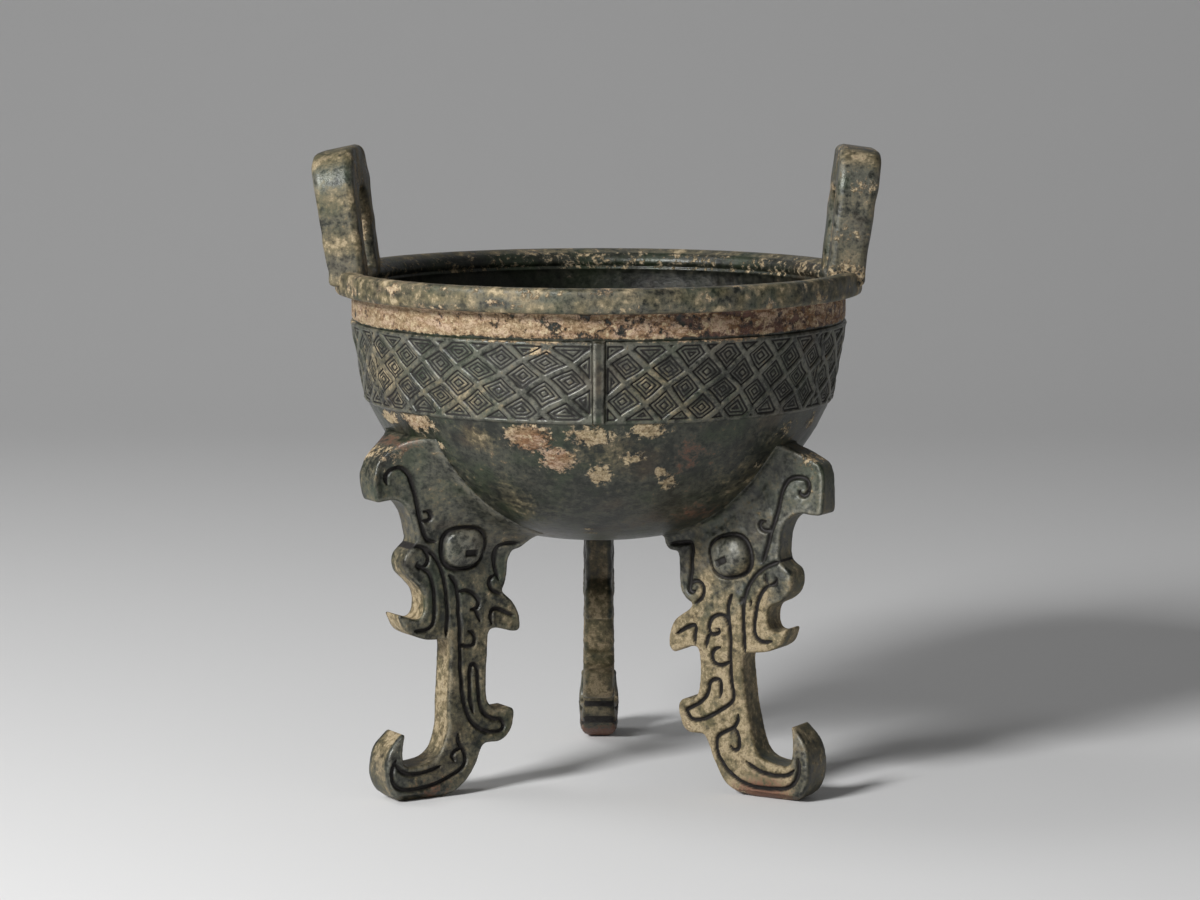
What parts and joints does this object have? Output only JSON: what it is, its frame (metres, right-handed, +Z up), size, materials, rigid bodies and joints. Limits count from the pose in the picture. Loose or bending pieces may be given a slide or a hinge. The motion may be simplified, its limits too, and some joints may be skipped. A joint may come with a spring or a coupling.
{
  "type": "bronze ding vessel",
  "caption": "Ancient cast bronze ding cauldron: round bowl with a lozenge band, upright loop handles on the rim and flat dragon-shaped legs with hooked feet",
  "frame": {"origin": "on the ground, under the middle of the bowl", "axes": "+Z up through the bowl, X through the two handles, the front rib of the band faces -Y, the back leg lies on +Y"},
  "size_m": [0.1761, 0.165, 0.2004],
  "materials": {
    "bronze": "aged cast bronze, dark grey-green patina with tan and reddish crust and near-black grooves"
  },
  "bodies": {
    "root": {"ding_vessel": "bronze"}
  },
  "joints": []
}
